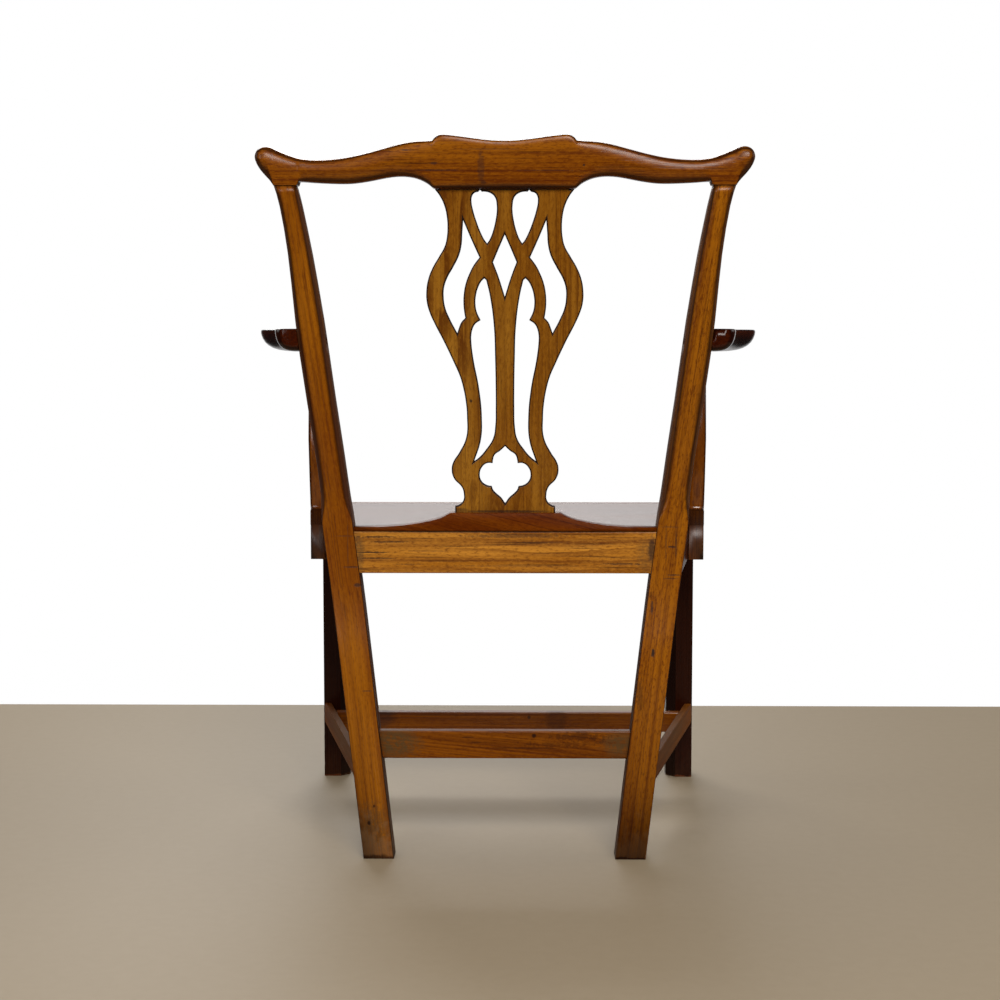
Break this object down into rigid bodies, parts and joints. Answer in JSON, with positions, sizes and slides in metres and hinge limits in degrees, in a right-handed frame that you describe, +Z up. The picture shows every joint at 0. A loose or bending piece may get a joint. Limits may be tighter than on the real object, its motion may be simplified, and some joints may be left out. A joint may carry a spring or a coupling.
{
  "type": "armchair",
  "caption": "Open wooden armchair with a serpentine crest rail, pierced vase splat, outswept flat arms, flat lift-out seat and square front legs tied by stretchers.",
  "frame": {"origin": "on the floor, midway between the two sides and between the front legs' front faces and the crest rail's back", "axes": "+X to the sitter's left, +Y to the back of the chair, +Z up; the sitter faces -Y"},
  "size_m": [0.758, 0.55, 0.9526],
  "materials": {
    "frame_wood": "polished, medium gloss",
    "rail_wood": "polished, satin",
    "shoe_wood": "polished, darker",
    "splat_wood": "polished, satin",
    "seat_wood": "polished to a gloss",
    "hidden_wood": "plain sawn",
    "peg_wood": "dark end grain",
    "screw_steel": "dull"
  },
  "bodies": {
    "chair_frame": {"crest_rail": "frame_wood", "rear_leg_left": "frame_wood", "rear_leg_right": "frame_wood", "front_leg_left": "frame_wood", "front_leg_right": "frame_wood", "arm_left": "frame_wood", "arm_right": "frame_wood", "arm_support_left": "frame_wood", "arm_support_right": "frame_wood", "side_stretcher_left": "frame_wood", "side_stretcher_right": "frame_wood", "rear_stretcher": "frame_wood", "medial_stretcher": "frame_wood", "rear_seat_rail": "rail_wood", "front_seat_rail": "rail_wood", "side_seat_rail_left": "rail_wood", "side_seat_rail_right": "rail_wood", "pierced_splat": "splat_wood", "splat_shoe": "shoe_wood", "corner_block_front_left": "hidden_wood", "corner_block_front_right": "hidden_wood", "corner_block_rear_left": "hidden_wood", "corner_block_rear_right": "hidden_wood", "seat_bearer_front": "hidden_wood", "seat_bearer_rear": "hidden_wood", "seat_bearer_left": "hidden_wood", "seat_bearer_right": "hidden_wood", "peg_side_front_low_left": "peg_wood", "peg_side_front_low_right": "peg_wood", "peg_side_front_high_left": "peg_wood", "peg_side_front_high_right": "peg_wood", "peg_side_rear_low_left": "peg_wood", "peg_side_rear_low_right": "peg_wood", "peg_side_rear_high_left": "peg_wood", "peg_side_rear_high_right": "peg_wood", "peg_front_rail_low_left": "peg_wood", "peg_front_rail_low_right": "peg_wood", "peg_front_rail_high_left": "peg_wood", "peg_front_rail_high_right": "peg_wood", "arm_screw_plug_left": "peg_wood", "arm_screw_plug_right": "peg_wood", "support_screw_front_left": "screw_steel", "support_screw_front_right": "screw_steel", "support_screw_rear_left": "screw_steel", "support_screw_rear_right": "screw_steel", "arm_screw_left": "screw_steel", "arm_screw_right": "screw_steel"},
    "seat": {"seat_panel": "seat_wood"}
  },
  "joints": [
    {"name": "seat_lift", "type": "slide", "parent": "chair_frame", "child": "seat", "axis": [0, 0, 1], "range_m": [0, 0.12]}
  ]
}
